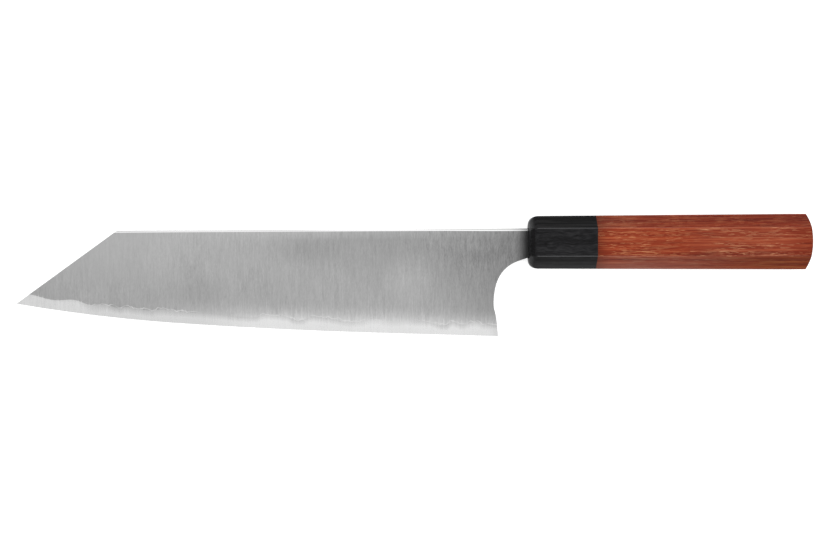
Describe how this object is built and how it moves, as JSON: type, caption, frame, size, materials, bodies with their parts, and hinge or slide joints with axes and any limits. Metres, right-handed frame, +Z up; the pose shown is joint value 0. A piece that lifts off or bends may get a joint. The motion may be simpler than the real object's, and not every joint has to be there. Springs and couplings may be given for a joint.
{
  "type": "kiritsuke kitchen knife",
  "caption": "Long flat-edged kitchen knife with an angled tip, a laminated blade and an octagonal wooden handle with a dark ferrule, lying on its side.",
  "frame": {"origin": "centre of the footprint of the knife lying on its side, on the surface that its handle's lower flat touches", "axes": "+X along the knife from the blade's tip to the handle's butt, +Y from the cutting edge to the spine, +Z up, out of the blade's right face"},
  "size_m": [0.3944, 0.0604, 0.0219],
  "materials": {
    "core_steel": "fine polish along the edge",
    "cladding_steel": "brushed across the blade, from spine to edge",
    "dark_wood": "black stained hardwood, satin",
    "red_wood": "oiled red-brown hardwood with open pores, satin",
    "plain_wood": "plain pale hardwood",
    "adhesive": "set resin",
    "seal": "black filler"
  },
  "bodies": {
    "root": {"core_steel": "core_steel", "cladding_left": "cladding_steel", "cladding_right": "cladding_steel", "ferrule": "dark_wood", "handle_body": "red_wood", "handle_dowel": "plain_wood", "tang_glue": "adhesive", "mouth_seal": "seal"}
  },
  "joints": []
}
